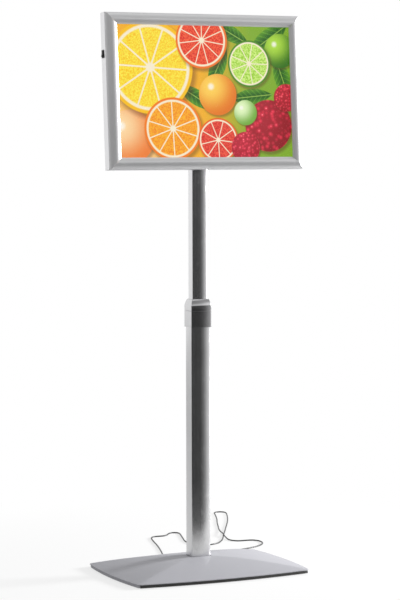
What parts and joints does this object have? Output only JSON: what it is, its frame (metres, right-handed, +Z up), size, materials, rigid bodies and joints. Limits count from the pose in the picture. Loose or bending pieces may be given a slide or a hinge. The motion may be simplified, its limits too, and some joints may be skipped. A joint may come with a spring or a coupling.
{
  "type": "poster display stand",
  "caption": "Landscape poster light box with snap-open frame rails, tilting on a telescopic flat pole over a low weighted pyramid base, with a rocker switch and a thin lead.",
  "frame": {"origin": "on the floor under the axis of the pole, at the centre of the base pad's underside", "axes": "+X to the right of someone who faces the poster, +Y to the back, +Z up along the pole"},
  "size_m": [0.6119, 0.825, 1.1897],
  "materials": {
    "powder_coat_grey": "fine textured powder coat, satin",
    "anodised_pole": "satin anodised, drawn along its length",
    "anodised_rail": "satin anodised, brushed along the rail",
    "anodised_casing": "satin anodised",
    "steel_zinc": "zinc plated",
    "steel_black": "black zinc",
    "collar_grey": "satin moulded plastic",
    "plastic_black": "fine sparked moulding",
    "strip_black": "satin extruded edge trim",
    "switch_black": "moulded, half gloss",
    "rubber_pad": "matt sheet",
    "brass_pad": "turned",
    "panel_white": "stoved enamel, satin",
    "reflector_white": "white film",
    "guide_clear": "clear acrylic with printed dots",
    "diffuser_white": "opal acrylic",
    "print_film": "backlit print, satin",
    "cover_clear": "clear non-reflecting sheet",
    "led_board": "white solder mask",
    "spring_steel": "rolled",
    "lead_black": "soft jacket, satin"
  },
  "bodies": {
    "stand": {"base_cover": "powder_coat_grey", "ballast_plate": "steel_zinc", "base_pad": "rubber_pad", "edge_strip_front": "strip_black", "edge_strip_rear": "strip_black", "pole_foot": "steel_zinc", "foot_bolt_left": "steel_zinc", "foot_bolt_right": "steel_zinc", "cord_gland": "plastic_black", "lower_tube": "anodised_pole", "tube_screw": "steel_zinc", "collar_body": "collar_grey", "collar_cap": "collar_grey", "collar_liner": "plastic_black", "clamp_pad": "brass_pad", "lead_base": "lead_black", "lead_slack": "lead_black", "floor_lead": "lead_black", "lead_connector": "plastic_black"},
    "lock": {"lock_knob": "plastic_black", "lock_stud": "steel_zinc"},
    "upper_pole": {"upper_tube": "anodised_pole", "guide_bush": "plastic_black", "tilt_head": "plastic_black", "lead_grommet": "plastic_black", "lead_upper": "lead_black", "lead_tilt_loop": "lead_black"},
    "light_box": {"tilt_bracket": "steel_black", "tilt_bolt": "steel_zinc", "bracket_screw_1": "steel_zinc", "bracket_screw_2": "steel_zinc", "bracket_screw_3": "steel_zinc", "bracket_screw_4": "steel_zinc", "backing_plate": "steel_zinc", "casing_top": "anodised_casing", "casing_bottom": "anodised_casing", "casing_left": "anodised_casing", "casing_right": "anodised_casing", "back_panel": "panel_white", "reflector_sheet": "reflector_white", "light_guide": "guide_clear", "diffuser": "diffuser_white", "print_sheet": "print_film", "cover_sheet": "cover_clear", "led_bar_top": "led_board", "led_bar_bottom": "led_board", "snap_spring_top": "spring_steel", "snap_spring_bottom": "spring_steel", "snap_spring_left": "spring_steel", "snap_spring_right": "spring_steel", "switch_body": "switch_black", "dc_socket": "plastic_black", "dc_plug": "plastic_black", "power_wire": "lead_black"},
    "tilt_handle": {"tilt_knob": "plastic_black"},
    "rocker": {"switch_rocker": "switch_black"},
    "rail_top": {"snap_rail_top": "anodised_rail"},
    "rail_bottom": {"snap_rail_bottom": "anodised_rail"},
    "rail_left": {"snap_rail_left": "anodised_rail"},
    "rail_right": {"snap_rail_right": "anodised_rail"}
  },
  "joints": [
    {"name": "height_slide", "type": "slide", "parent": "stand", "child": "upper_pole", "axis": [0, 0, 1], "range_m": [-0.25, 0.1], "deforming": ["lead_slack"]},
    {"name": "tilt", "type": "hinge", "parent": "upper_pole", "child": "light_box", "pos_m": [0, 0, 1], "axis": [-1, 0, 0], "range_deg": [-4.2, 40], "deforming": ["lead_tilt_loop"]},
    {"name": "lock_turn", "type": "hinge", "parent": "stand", "child": "lock", "pos_m": [0, 0, 0.545], "axis": [0, 1, 0], "range_deg": [0, 540]},
    {"name": "tilt_knob_turn", "type": "hinge", "parent": "light_box", "child": "tilt_handle", "pos_m": [0, 0, 1], "axis": [1, 0, 0], "range_deg": [0, 540]},
    {"name": "switch", "type": "hinge", "parent": "light_box", "child": "rocker", "pos_m": [-0.226, -0.01942, 1.1028], "axis": [0, -0.9973, 0.0732], "range_deg": [0, 18]},
    {"name": "rail_top_snap", "type": "hinge", "parent": "light_box", "child": "rail_top", "pos_m": [0, -0.02805, 1.18876], "axis": [-1, 0, 0], "range_deg": [0, 75]},
    {"name": "rail_bottom_snap", "type": "hinge", "parent": "light_box", "child": "rail_bottom", "pos_m": [0, -0.05187, 0.86443], "axis": [1, 0, 0], "range_deg": [0, 75]},
    {"name": "rail_left_snap", "type": "hinge", "parent": "light_box", "child": "rail_left", "pos_m": [-0.2241, -0.03996, 1.0266], "axis": [0, -0.0732, -0.9973], "range_deg": [0, 75]},
    {"name": "rail_right_snap", "type": "hinge", "parent": "light_box", "child": "rail_right", "pos_m": [0.2241, -0.03996, 1.0266], "axis": [0, 0.0732, 0.9973], "range_deg": [0, 75]}
  ]
}
